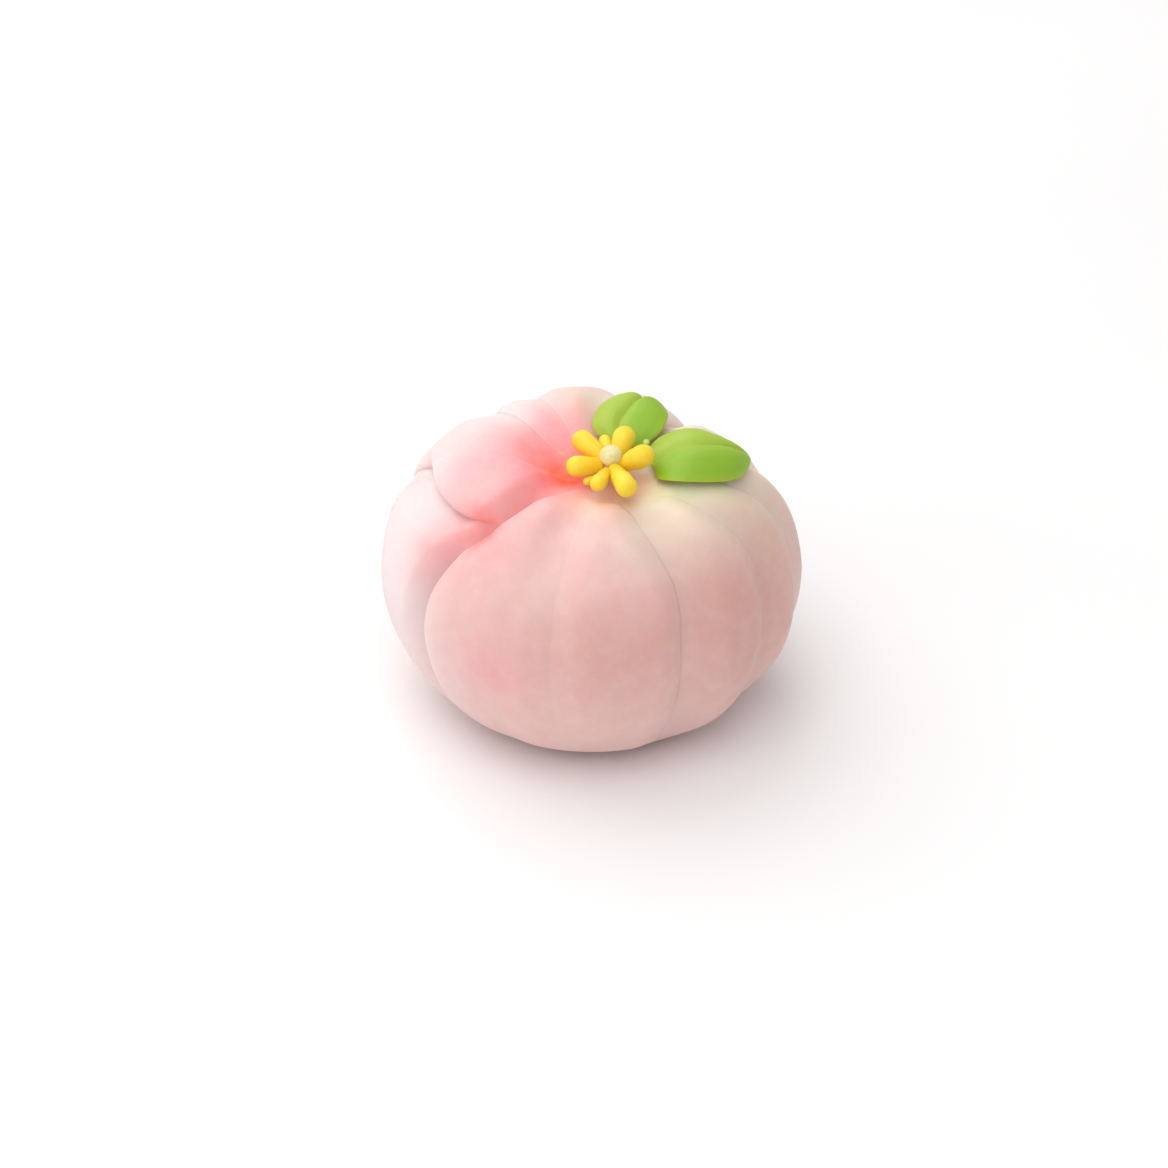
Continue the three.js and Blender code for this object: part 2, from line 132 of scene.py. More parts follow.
OUTLINE = Line([
    (0, DIMPLE_FLOOR),
    (0.3 * CREST_RADIUS, DIMPLE_FLOOR + 0.035 * DIMPLE_DEPTH),
    (0.62 * CREST_RADIUS, DIMPLE_FLOOR + 0.42 * DIMPLE_DEPTH),
    (CREST_RADIUS, HEIGHT),
    (0.626 * RADIUS, 0.962 * HEIGHT),
    (0.817 * RADIUS, 0.842 * HEIGHT),
    (0.952 * RADIUS, 0.665 * HEIGHT),
    (RADIUS, EQUATOR_HEIGHT),
    (0.957 * RADIUS, 0.59 * EQUATOR_HEIGHT),
    (0.822 * RADIUS, 0.253 * EQUATOR_HEIGHT),
    (1.185 * BASE_RADIUS, 0.062 * EQUATOR_HEIGHT),
    (BASE_RADIUS, 0),
], 400)


def ring_centre(t):
    fade = (1 + np.cos(np.pi * np.minimum(t / EQUATOR, 1))) / 2
    return POLE[0] * fade, POLE[1] * fade + PIT["shift"] * (1 - smooth(t, 0, PIT["to"]))


def taken_off(spec, angle, t):
    """The share taken off: most towards the spec's angle, and none at the opposite side."""
    facing = (1 + np.cos(np.radians(angle - spec["towards"]))) / 2
    ending = 1 - smooth(t, *spec["ends"]) if "ends" in spec else 1
    return spec["share"] * facing ** spec["power"] * smooth(t, *spec["grows"]) * ending


def front_fill(angle, t):
    aside = between(angle, FRONT_FILL["angle"]) / FRONT_FILL["spread"]
    along = (t - FRONT_FILL["at"]) / FRONT_FILL["width"]
    return FRONT_FILL["height"] * np.exp(-aside * aside - along * along)


def base_point(angle, t):
    """A point of the body before its petals are pressed in."""
    angle, t = np.broadcast_arrays(np.asarray(angle, float), np.asarray(t, float))
    section = OUTLINE.at(np.clip(t, 0, 1))
    sine, cosine = turned(angle)
    loss = taken_off(BACK_CUT, angle, t)
    for spec in GIRTH_CUTS:
        turn = between(angle, spec["angle"])
        off = turn / np.where(turn > 0, spec["after"], spec["spread"])
        loss = loss + spec["cut"] * np.exp(-off * off) * smooth(t, *spec["grows"])
    radius = section[..., 0] * (1 - loss)
    height = section[..., 1] * (1 - taken_off(BACK_DROP, angle, t)) * (1 - taken_off(FRONT_DROP, angle, t))
    height = height + front_fill(angle, t)
    x, y = ring_centre(t)
    return np.stack([x - radius * sine, y - radius * cosine, height], axis=-1)


def unit(vectors):
    return vectors / np.maximum(np.linalg.norm(vectors, axis=-1, keepdims=True), 1e-12)


# Steps of t and of the angle between the points that a normal is worked out from.
NORMAL_STEP = 0.003
NORMAL_TURN = 0.2
# Up to this t, on the dimple's bottom, the normal points straight up.
LEVEL_TO = 0.004


def base_normal(angle, t):
    angle, t = np.broadcast_arrays(np.asarray(angle, float), np.asarray(t, float))
    along = base_point(angle, np.minimum(t + NORMAL_STEP, 1)) - base_point(angle, t - NORMAL_STEP)
    around = base_point(angle + NORMAL_TURN, t) - base_point(angle - NORMAL_TURN, t)
    normal = unit(np.cross(around, along))
    normal[t < LEVEL_TO] = (0, 0, 1)
    return normal


def along_angles(*angles):
    """A smooth angle along the body, given at t = 0, 0.2, 0.4, 0.6, 0.8 and 1."""
    line = Line([(a,) for a in angles])
    return lambda t: line.raw(np.asarray(t, float))[..., 0]


front_fold = along_angles(70, 46.5, 51, 55, 51, 48)
upper_path = along_angles(98, 89, 101, 103, 103, 103)


def left_edge(t):
    turn = PETAL_TURN
    sweep = turn["sweep"] * smooth(t, turn["from"], turn["corner"])
    tail = turn["tail"] * smooth(t, turn["corner"], turn["to"])
    return front_fold(t) + turn["gap"] + sweep + tail


def upper_edge(t):
    return np.maximum(upper_path(t), left_edge(t) + PETAL_TURN["gap"])


DEEPEST_FOLD = 2.9
# The ranges of t over which a fold or crease rises and sinks, and the share left after it.
FOLD_LENGTH = {"start": (0.03, 0.2), "end": (0.78, 1), "last": 0}
# What is left of any of them sinks over this range.
FOLD_FOOT = (0.86, 1)


def fold(path, side, depth, lip=2.4, valley=4.5, **more):
    """One fold between two petals. The lip is the petal that lies on top, side 1 at the larger angle.

    Soft turns the lip's steep drop into a gentle one, and tuck draws the lip in over the line.
    """
    facts = {"tuck": 0.2, "soft": 0, **FOLD_LENGTH}
    return {"path": path, "side": side, "depth": depth, "lip": lip, "valley": valley, **facts, **more}


FOLDS = [
    fold(front_fold, -1, DEEPEST_FOLD, 3, 3.2, tuck=0.5, end=(0.6, 0.9)),
    fold(left_edge, 1, 2.4, 2.4, 5, tuck=0.4, start=(0.28, 0.34), end=(0.39, 0.48), last=0.3),
    fold(upper_edge, -1, 1, 1.6, 4, tuck=0.15, start=(0.02, 0.12), end=(0.3, 0.4)),
    fold(along_angles(130, 127, 142, 150, 152, 152), 1, 1.1, soft=0.5),
    fold(along_angles(152, 149, 159, 165, 166, 167), 1, 0.8, soft=0.5),
    fold(along_angles(172, 184, 197, 198, 198, 198), 1, 1, valley=4),
    fold(along_angles(212, 225, 226, 225, 225, 225), -1, 1.4, valley=3.6),
    fold(along_angles(252, 266, 262, 258, 257, 257), 1, 1, 2.6, 5, soft=0.3),
    fold(along_angles(296, 289.5, 280, 282, 284, 286), 1, 0.9, 2.6, 5, soft=0.6, start=(0.12, 0.34)),
    fold(along_angles(316, 310, 301, 303, 307, 310), 1, 1.1, 2.8, 6, soft=0.7, start=(0.06, 0.22)),
    fold(along_angles(352, 341.5, 333, 334, 336, 337), 1, 1.15, 3, 6, soft=0.65, start=(0.02, 0.1)),
    fold(
        along_angles(380, 374, 372, 371, 369, 369), -1, 0.8, 3, 5,
        soft=0.8, start=(0.02, 0.12), end=(0.6, 0.9),
    ),
]

# A soft crease down the left part of the front petal.
CREASES = [
    {"path": along_angles(30, 22, 23, 25, 28, 28), "depth": 0.35, "width": 2, **FOLD_LENGTH},
]

# A fold's line is traced from this t down, in steps, for so many places at a time.
TRACE_FROM = 0.02
TRACE_STEPS = 90
CHUNK = 6000


def nearest_on(path, places):
    """For each place: its distance to a fold's line, the nearest point there, and that point's t."""
    stations = blend(TRACE_FROM, 1, np.linspace(0, 1, TRACE_STEPS + 1))
    line = base_point(path(stations), stations)
    start = line[:-1]
    run = np.diff(line, axis=0)
    size = (run * run).sum(-1)
    distance = np.empty(len(places))
    foot = np.empty((len(places), 3))
    found = np.empty(len(places))
    for first in range(0, len(places), CHUNK):
        part = slice(first, first + CHUNK)
        away = places[part, None] - start
        w = np.clip((away * run).sum(-1) / size, 0, 1)
        gap = np.linalg.norm(away - run * w[..., None], axis=-1)
        best = gap.argmin(1)
        rows = np.arange(len(best))
        share = w[rows, best]
        distance[part] = gap[rows, best]
        foot[part] = start[best] + run[best] * share[:, None]
        found[part] = blend(stations[best], stations[best + 1], share)
    return distance, foot, found


def strength_along(spec, t):
    rest = blend(1, spec["last"], smooth(t, *spec["end"]))
    return smooth(t, *spec["start"]) * rest * (1 - smooth(t, *FOLD_FOOT))


def fold_profile(spec, distance, on_lip):
    """How deep a fold is at a distance from its line: a rounded lip, and a valley on the other side."""
    q = np.minimum(distance / np.where(on_lip, spec["lip"], spec["valley"]), 1)
    gentle = (1 - q * q) ** 2
    steep = 1 - np.sqrt(1 - (1 - q) ** 2)
    return np.where(on_lip, blend(steep, gentle, spec["soft"]), gentle)


WAVE_COUNT = 9
WAVE_LENGTHS = (0.7, 1.5)


def waves(places, seed, length):
    """A gentle seeded unevenness of about -1 to 1, with waves of about one length in millimetres."""
    draw = np.random.default_rng(seed)
    total = np.zeros(len(places))
    for _ in range(WAVE_COUNT):
        way = unit(draw.normal(size=3)) * 2 * np.pi / (length * draw.uniform(*WAVE_LENGTHS))
        total += np.sin(places @ way + draw.uniform(0, 2 * np.pi))
    return total / math.sqrt(WAVE_COUNT)


# Unevenness left by the hands and the wooden pressing stick, in millimetres: (depth, wave length).
# It comes in and goes out over two ranges of t.
HAND_MARKS = [(0.07, 13), (0.035, 5.5)]
MARKS_START = (0, 0.1)
MARKS_END = (0.8, 0.95)
# Nearer than this to a fold's line, in millimetres, a place isn't drawn towards it.
ON_LINE = 1e-4


def body_form(angle, t):
    """Points of the finished body, and how deep each lies in a fold, from 0 to 1."""
    place = base_point(angle, t)
    normal = base_normal(angle, t)
    depth = np.zeros(len(t))
    shift = np.zeros((len(t), 3))
    pinch = np.zeros(len(t))
    for spec in FOLDS:
        distance, foot, at = nearest_on(spec["path"], place)
        on_lip = between(angle, spec["path"](t)) * spec["side"] > 0
        strength = strength_along(spec, at)
        share = fold_profile(spec, distance, on_lip)
        depth += spec["depth"] * strength * share
        pinch += strength * share * spec["depth"] / DEEPEST_FOLD
        tuck = spec["tuck"] * strength * 4 * share * (1 - share)
        tuck = np.where(on_lip & (distance > ON_LINE), tuck / np.maximum(distance, ON_LINE), 0)
        shift += (foot - place) * tuck[:, None]
    for spec in CREASES:
        distance, _, at = nearest_on(spec["path"], place)
        depth += spec["depth"] * strength_along(spec, at) * np.exp(-(distance / spec["width"]) ** 2)
    ease = smooth(t, *MARKS_START) * (1 - smooth(t, *MARKS_END))
    for i, (height, length) in enumerate(HAND_MARKS):
        depth += ease * height * (1 + waves(place, SEED + i, length)) / 2
    return place - normal * depth[:, None] + shift, np.clip(pinch, 0, 1)


# Columns of the body's mesh run down the folds, and crowd towards them.
COLUMNS = [8, 6, 6, 6, 7, 8, 6, 7, 6, 7, 8, 10]
COLUMN_SHARE = 4
COLUMN_CROWDING = 0.6
# Its rows: the t where each band ends, and the rows in it.
ROW_BANDS = [(0.28, 50), (0.4, 40), (0.8, 64), (1, 30)]
FLOOR_RINGS = 5


def body_grid():
    rows = []
    low = 0.0
    for high, count in ROW_BANDS:
        rows.extend(blend(low, high, k / count) for k in range(1, count + 1))
        low = high
    t = np.array(rows)
    paths = [spec["path"](t) for spec in FOLDS]
    paths.append(paths[0] + 360)
    angles = []
    for i, count in enumerate(COLUMNS):
        for k in range(count * COLUMN_SHARE):
            even = k / (count * COLUMN_SHARE)
            share = blend(even, (1 - math.cos(math.pi * even)) / 2, COLUMN_CROWDING)
            angles.append(blend(paths[i], paths[i + 1], share))
    angle = np.stack(angles, axis=1)
    return angle, np.broadcast_to(t[:, None], angle.shape)


def closed_faces(rings, sides):
    """Faces of a closed form made of a first point, rings of points and a last point.

    They are turned outwards where the rings go down the form.
    """
    r, k = np.meshgrid(np.arange(rings - 1), np.arange(sides), indexing="ij")
    a = 1 + r * sides + k
    b = 1 + r * sides + (k + 1) % sides
    faces = np.stack([a, b, b + sides, a + sides], axis=-1).reshape(-1, 4).tolist()
    last = 1 + (rings - 1) * sides
    for corner in range(sides):
        after = (corner + 1) % sides
        faces.append([0, 1 + after, 1 + corner])
        faces.append([last + corner, last + after, last + sides])
    return faces


def add_piece(name, points, faces, material, replaced):
    mesh = bpy.data.meshes.new(name)
    mesh.from_pydata(((points + CENTRING) * MM).tolist(), [], faces)
    mesh.polygons.foreach_set("use_smooth", [True] * len(mesh.polygons))
    mesh.materials.append(material)
    mesh.update()
    piece = bpy.data.objects.new(name, mesh)
    bpy.context.scene.collection.objects.link(piece)
    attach(piece, "root")
    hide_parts(replaced)
    return piece


def add_field(piece, name, values):
    """Stores one number for each point, for the materials to read."""
    field = piece.data.attributes.new(name, "FLOAT", "POINT")
    field.data.foreach_set("value", np.asarray(values, np.float32))


# Where the dough is tinted, and where light and shade are painted on it, as soft pools: (angle, t, spread
# in millimetres, strength).
TINTS = {
    "milky": [
        (78, 0.46, 6, 0.9), (70, 0.58, 7, 0.7), (60, 0.7, 7, 0.6), (130, 0.26, 5, 0.9),
        (88, 0.34, 5, 0.6), (110, 0.45, 9, 0.6), (150, 0.4, 9, 0.6),
    ],
    "cream": [
        (335, 0.27, 4, 0.8), (327, 0.39, 6, 0.6), (297, 0.38, 5, 0.8), (343, 0.33, 4, 0.3),
        (20, 0.42, 4, 0.5), (265, 0.45, 8, 0.6), (210, 0.4, 9, 0.5),
    ],
    # Painted reflection: green light from the leaves on the dough beside and under them.
    "leaf_reflection": [
        (310, 0.25, 5, 0.8), (298, 0.29, 6, 0.7), (284, 0.34, 6, 0.7), (326, 0.19, 4, 0.45),
        (180, 0.21, 4, 0.9), (240, 0.2, 8, 0.8),
    ],
    # Painted shade: the right side, turned away from the light, and the dough in the shadow of the leaves.
    "tan_shade": [
        (293, 0.39, 6, 0.3), (280, 0.36, 5, 0.2), (178, 0.21, 3, 0.45), (286, 0.5, 7, 0.3),
        (330, 0.24, 3, 0.25),
    ],
    # Painted light: a green glow beside the right leaf's lower edge, over the shade that the leaf casts.
    "lime_glow": [(303, 0.215, 1.6, 0.8), (309, 0.155, 1.6, 0.7), (291, 0.275, 1.6, 0.7)],
    # The dough's own pink. The pools at 56 and 60 degrees lie in the valley beside the front fold and paint
    # its shade, pinker and darker.
    "pink_and_valley_shade": [
        (37, 0.35, 6, 0.4), (27, 0.62, 4.5, 0.8), (343, 0.48, 5, 0.3), (60, 0.41, 3.5, 0.7),
        (80, 0.29, 4, 0.4), (56, 0.5, 3, 0.3), (50, 0.24, 4, 0.2), (165, 0.58, 8, 0.6),
        (205, 0.62, 9, 0.6),
    ],
    # Painted shade: the lower front and the right side, which face away from the light, are darker.
    "rose_shade": [
        (318, 0.5, 8, 0.8), (299, 0.6, 8, 0.6), (308, 0.7, 7, 0.4), (350, 0.56, 6, 0.7),
        (8, 0.56, 6, 0.5), (250, 0.62, 8, 0.5),
    ],
    # The dough's own deep pink round the dimple. The pool at 51 degrees paints the shade of the deep pocket
    # between the left petal, the left lobe and the front fold.
    "coral_and_pocket_shade": [
        (86, 0.105, 4.8, 0.85), (62, 0.18, 4.5, 0.18), (104, 0.18, 4.5, 0.25), (136, 0.14, 4, 0.4),
        (51, 0.335, 2.6, 1), (80, 0.25, 6, 0.25), (150, 0.18, 4, 0.35),
    ],
    # The dough's own red-orange by the stamens. The pool at 51 degrees paints the pocket's shade.
    "ember_and_pocket_shade": [(98, 0.1, 2.6, 1), (90, 0.072, 1.6, 0.7), (150, 0.08, 3, 0.5), (51, 0.335, 1.9, 1)],
    # Painted shade: the dimple's floor in the shadow of the stamens and the leaves.
    "amber_shade": [(10, 0.12, 3.5, 0.28), (312, 0.06, 2.5, 0.24), (270, 0.08, 3, 0.32)],
}


def tint_field(places, pools):
    total = np.zeros(len(places))
    for angle, t, spread, strength in pools:
        centre = base_point(angle, t)
        total += strength * np.exp(-((places - centre) ** 2).sum(-1) / spread ** 2)
    return np.clip(total, 0, 1)


def dough_body(material):
    angle, t = body_grid()
    sides = angle.shape[1]
    flat_angle = np.concatenate([[0], angle.ravel()])
    flat_t = np.concatenate([[0], t.ravel()])
    points, pinch = body_form(flat_angle, flat_t)
    points[points[:, 2] < 0, 2] = 0
    edge = points[-sides:]
    floor = [blend(edge, np.zeros(3), k / FLOOR_RINGS) for k in range(1, FLOOR_RINGS)]
    points = np.concatenate([points, *floor, np.zeros((1, 3))])
    faces = closed_faces(angle.shape[0] + FLOOR_RINGS - 1, sides)
    piece = add_piece("petal_dough", points, faces, material, "dough_body")
    under = np.zeros(len(points) - len(pinch))
    add_field(piece, "pinch", np.concatenate([pinch, under]))
    for name, pools in TINTS.items():
        add_field(piece, name, tint_field(points, pools))


# How often the range of t is halved on the way to the place under a point of the plan.
HALVINGS = 40


def under_plan(x, y):
    """The angle and t of the unpressed body under places of the plan."""
    low = np.zeros_like(x)
    high = np.full_like(x, EQUATOR)
    for _ in range(HALVINGS):
        t = (low + high) / 2
        cx, cy = ring_centre(t)
        angle = np.degrees(np.arctan2(cx - x, cy - y))
        ring = base_point(angle, t)
        inside = np.hypot(x - cx, y - cy) < np.hypot(ring[..., 0] - cx, ring[..., 1] - cy)
        high = np.where(inside, t, high)
        low = np.where(inside, low, t)
    return angle, (low + high) / 2


def over_plan(x, y, lift):
    """Points at a height over the unpressed body, above places of the plan."""
    angle, t = under_plan(np.asarray(x, float), np.asarray(y, float))
    return base_point(angle, t) + base_normal(angle, t) * np.asarray(lift)[..., None]


# Leaves. Outlines are (forward, sideways) from the root, along and across the leaf's heading.
LEAF_THICKNESS = 0.9
LEAF_EDGE = 0.18
LEAF_BULGE = 0.5
LEAF_ROWS = 64
LEAF_COLUMNS = 28
LEAVES = [
    {
        "name": "leaf_back", "root": (3.4, 1), "heading": 28.5,
        "rib": [(0.2, -0.65), (2.6, -1.6), (4.5, -1.45), (7.15, -1.25)],
        "left": [
            (0.45, -3.4), (1.15, -4.3), (2.1, -4.75), (3.1, -4.9), (4.55, -4.85), (6.1, -4.3),
            (6.85, -3.75), (7.5, -3.25), (7.7, -2.65), (7.6, -2), (7.15, -1.25),
        ],
        "right": [
            (0.7, 1.75), (2.05, 2.6), (2.75, 3), (3.55, 3.15), (4.7, 2.95), (6.15, 2.35), (7.35, 1.3),
            (7.9, 0.3), (7.65, -0.4), (7.35, -0.85), (7.15, -1.25),
        ],
    },
    {
        "name": "leaf_right", "root": (6.3, -5.6), "heading": 75,
        "rib": [(1.1, -2.8), (6, -2.3), (12, -2.9)],
        "left": [
            (1.45, -5.4), (1.85, -6.05), (2.6, -6.55), (3.55, -6.7), (5.75, -6.55), (7.05, -6.1),
            (7.9, -5.2), (8.95, -4.35), (10.05, -3.8), (10.95, -3.5), (11.6, -3.3), (12, -2.9),
        ],
        "right": [
            (0.95, -0.4), (0.9, 0.5), (1.45, 1.4), (2.5, 2.15), (4.25, 2.4), (6.15, 2.4), (8, 1.95),
            (9.8, 0.85), (10.8, -0.35), (11.5, -1.6), (12, -2.9),
        ],
    },
]
LEAF_VEINS = 4
LEAF_VEIN_DEPTH = 0.012
# Powers that shape a leaf: how its bulge lies between rib and edge, how its thickness tapers to
# the edge and to both ends, how its veins fade, and how its columns crowd towards the edge.
LEAF_POWERS = {"bulge": 0.8, "edge": 3, "ends": 8, "veins": 4, "columns": 1.25}
# The bulge starts so far into its half wave at the root.
LEAF_ROOT = 0.15
# From this share of the half width on the edge is rounded, by this share of a quarter circle.
LEAF_ROUND = (0.88, 0.96)


def leaf_sheet(spec, w, across, top):
    """Points of a leaf's upper or lower side, w along its rib and across from -1 to 1."""
    lines = {side: Line(spec[side]) for side in ("rib", "left", "right")}
    half = np.abs(across)
    edge = np.where((across < 0)[:, None], lines["left"].at(w), lines["right"].at(w))
    place = blend(lines["rib"].at(w), edge, half[:, None])
    sine, cosine = turned(spec["heading"])
    x = spec["root"][0] + place[:, 0] * sine + place[:, 1] * cosine
    y = spec["root"][1] + place[:, 0] * cosine - place[:, 1] * sine
    power = LEAF_POWERS
    fullness = np.sin(np.pi * blend(LEAF_ROOT, 1, w)).clip(0) ** 0.5
    bulge = LEAF_BULGE * np.sin(np.pi * half ** power["bulge"]) * fullness
    full = (1 - half ** power["edge"]) * (1 - w ** power["ends"]) * (1 - (1 - w) ** power["ends"])
    thickness = blend(LEAF_EDGE, LEAF_THICKNESS, full)
    round_from, round_share = LEAF_ROUND
    rounded = LEAF_EDGE / 2 * (1 - np.sqrt(1 - smooth(half, round_from, 1) ** 2 * round_share))
    ripple = np.cos(half * LEAF_VEINS * 2 * np.pi) * (1 - half ** power["veins"])
    vein = LEAF_VEIN_DEPTH * ripple * fullness
    lift = LEAF_GAP + bulge + (thickness + vein - rounded if top else rounded)
    return over_plan(x, y, lift)


def leaf(spec, material):
    across = np.linspace(-1, 1, 2 * LEAF_COLUMNS + 1)
    across = np.sign(across) * (1 - (1 - np.abs(across)) ** LEAF_POWERS["columns"])
    n = len(across)
    w = np.repeat(np.arange(LEAF_ROWS) / LEAF_ROWS, n)
    w = np.append(w, 1.0)
    sideways = np.append(np.tile(across, LEAF_ROWS), 0.0)
    above = leaf_sheet(spec, w, sideways, True)
    below = leaf_sheet(spec, w, sideways, False)
    count = len(above)
    tip = LEAF_ROWS * n
    faces = []

    def both(*corners):
        faces.append(list(corners))
        faces.append([count + c for c in reversed(corners)])

    def wall(a, b):
        faces.append([a, count + a, count + b, b])

    for r in range(LEAF_ROWS - 1):
        for c in range(n - 1):
            a = r * n + c
            both(a, a + 1, a + n + 1, a + n)
        wall(r * n + n, r * n)
        wall(r * n + n - 1, r * n + 2 * n - 1)
    last = (LEAF_ROWS - 1) * n
    for c in range(n - 1):
        both(last + c, last + c + 1, tip)
        wall(c, c + 1)
    wall(tip, last)
    wall(last + n - 1, tip)
    points = np.concatenate([above, below])
    piece = add_piece(spec["name"] + "_dough", points, faces, material, spec["name"])
    for name, values in (("across", sideways), ("edge", np.abs(sideways))):
        add_field(piece, name, np.concatenate([values, values]))


# The flower: a cream ball with tear-drop stamens round it, and a tiny green ball behind one.
BALL_RADIUS = 1.2
BALL_PLACE = np.array([2.2, -3.9, 31.95])
NUB_RADIUS = 0.38
NUB_PLACE = np.array([6, -1.4, 32])
STAMEN_SIDES = 40
STAMEN_RINGS = 44
# How thickness grows along a stamen, and the share of its length over which the root is rounded.
STAMEN_TAPER = 1.3
STAMEN_ROOT = 0.06
# An uneven surface: its depth as a share of the radius, and the wave length in millimetres.
STAMEN_WAVER = (0.03, 1.9)
# The stamens reach on in under the ball, where the solids stay clear: the share of "root" left.
STAMEN_TUCK = 0.5


def stamen_spec(heading, reach, radius, lift, root=1.6, drop=1.25, neck=0.6):
    """One stamen: its heading, how far out its head lies, the head's radius and lift off the dough,
    how far from the ball's middle and how far under it the root lies, and the root's thickness.
    """
    facts = {"heading": heading, "reach": reach, "radius": radius, "lift": lift}
    return {**facts, "root": root, "drop": drop, "neck": neck}


STAMENS = [
    stamen_spec(140, 5.33, 1.17, 0.6, drop=1.1, neck=0.66),
    stamen_spec(207.4, 4.17, 1.2, 1.7, root=1.75, drop=1.1),
    stamen_spec(287, 4.56, 1.28, 1.3, root=1.7, drop=1.1, neck=0.62),
    stamen_spec(344.3, 5.93, 1.15, 0.15, root=1.8, drop=1, neck=0.62),
    stamen_spec(15.5, 5.15, 0.87, 0.15, root=2.5, drop=1.1),
    stamen_spec(79.5, 4.36, 1.14, 0.5, drop=1.15, neck=0.64),
    stamen_spec(170.5, 4.4, 0.68, 1.2, root=3.1, drop=0.65, neck=0.75),
    stamen_spec(53.9, 3.37, 0.42, 0.15, root=2.4, drop=2, neck=0.8),
]


def drop_share(u, neck, belly):
    """The thickness of a tear-drop along its length, as a share of its greatest."""
    round_end = np.sqrt(np.maximum(0, 1 - ((u - belly) / (1 - belly)) ** 2))
    taper = blend(neck, 1, np.sin(np.pi / 2 * np.minimum(u / belly, 1)) ** STAMEN_TAPER)
    return np.where(u > belly, round_end, taper * np.minimum(1, np.sqrt(u / STAMEN_ROOT)))


def stamen(number, spec, material):
    name = f"stamen_{number}"
    sine, cosine = turned(spec["heading"])
    out = np.array([-sine, -cosine, 0])
    root = BALL_PLACE + out * spec["root"] * STAMEN_TUCK - (0, 0, spec["drop"])
    plan = BALL_PLACE + out * spec["reach"]
    head = over_plan(plan[0], plan[1], GAP + spec["radius"] + spec["lift"])
    axis = unit(head - root)
    tip = head + axis * spec["radius"]
    side = unit(np.cross((0, 0, 1), axis))
    up = np.cross(axis, side)
    length = np.linalg.norm(tip - root)
    belly = np.linalg.norm(head - root) / length
    u = (1 - np.cos(np.pi * np.arange(1, STAMEN_RINGS) / STAMEN_RINGS)) / 2
    spin = 2 * np.pi * np.arange(STAMEN_SIDES) / STAMEN_SIDES
    radius = spec["radius"] * drop_share(u, spec["neck"], belly)
    centre = root + (tip - root) * u[:, None]
    around = side * np.cos(spin)[:, None] + up * np.sin(spin)[:, None]
    rings = (centre[:, None] + around[None] * radius[:, None, None]).reshape(-1, 3)
    points = np.concatenate([[root], rings, [tip]])
    bend = np.concatenate([[0], np.repeat(u, STAMEN_SIDES), [1]])
    outwards = unit(points - (root + (tip - root) * bend[:, None]))
    depth, length = STAMEN_WAVER
    waver = depth * spec["radius"] * waves(points, SEED + number, length)
    points = points + outwards * waver[:, None]
    faces = closed_faces(len(u), STAMEN_SIDES)
    piece = add_piece(name + "_dough", points, faces, material, name)
    add_field(piece, "along", bend)


BALL_RINGS = 28
BALL_SIDES = 48
# The depth and the length of a ball's dents, as shares of its radius.
BALL_DENTS = (0.035, 1.4)
# The cream ball is so much wider than its solid, so that the stamens meet it.
BALL_WIDTH = 1.06


def ball(replaced, radius, place, material, width=1.0):
    lean = np.pi * np.arange(1, BALL_RINGS) / BALL_RINGS
    spin = 2 * np.pi * np.arange(BALL_SIDES) / BALL_SIDES
    ring = np.stack([
        np.sin(lean)[:, None] * np.cos(spin)[None],
        np.sin(lean)[:, None] * np.sin(spin)[None],
        np.broadcast_to(np.cos(lean)[:, None], (len(lean), BALL_SIDES)),
    ], axis=-1).reshape(-1, 3)
    ways = np.concatenate([[(0, 0, 1)], ring, [(0, 0, -1)]])
    depth, length = BALL_DENTS
    dents = depth * (1 + waves(ways, SEED, length)) / 2
    points = place + ways * (radius * (1 - dents))[:, None] * (width, width, 1)
    faces = [face[::-1] for face in closed_faces(len(lean), BALL_SIDES)]
    add_piece(replaced + "_dough", points, faces, material, replaced)


DOUGH_IOR = 1.42
# How each kind of dough takes the light. Grain is its finest bump: size and depth in millimetres,
# and strength. Gloss is the size of its patches and the range of its roughness. Glow is how far
# light goes in, in millimetres, how much of it does, and how far each colour goes.
SURFACES = {
    "petal": {"grain": (0.5, 0.02, 0.5), "gloss": (3, 0.42, 0.58), "glow": (2.2, 0.7, (1, 0.5, 0.4))},
    "leaf": {"grain": (0.45, 0.02, 0.5), "gloss": (1.5, 0.4, 0.55), "glow": (1.2, 0.4, (0.7, 1, 0.3))},
    "stamen": {"grain": (0.4, 0.02, 0.5), "gloss": (1, 0.38, 0.5), "glow": (0.9, 0.4, (1, 0.7, 0.2))},
    "ball": {"grain": (0.3, 0.03, 0.6), "gloss": (0.7, 0.45, 0.6), "glow": (0.8, 0.35, (1, 0.8, 0.5))},
    "nub": {"grain": (0.3, 0.02, 0.6), "gloss": (0.7, 0.45, 0.6), "glow": (0.4, 0.35, (0.8, 1, 0.4))},
}

# The ranges that noise is spread over, for gloss and for patches of colour.
GLOSS_RANGE = (0.3, 0.7)
PATCH_RANGE = (0.35, 0.7)


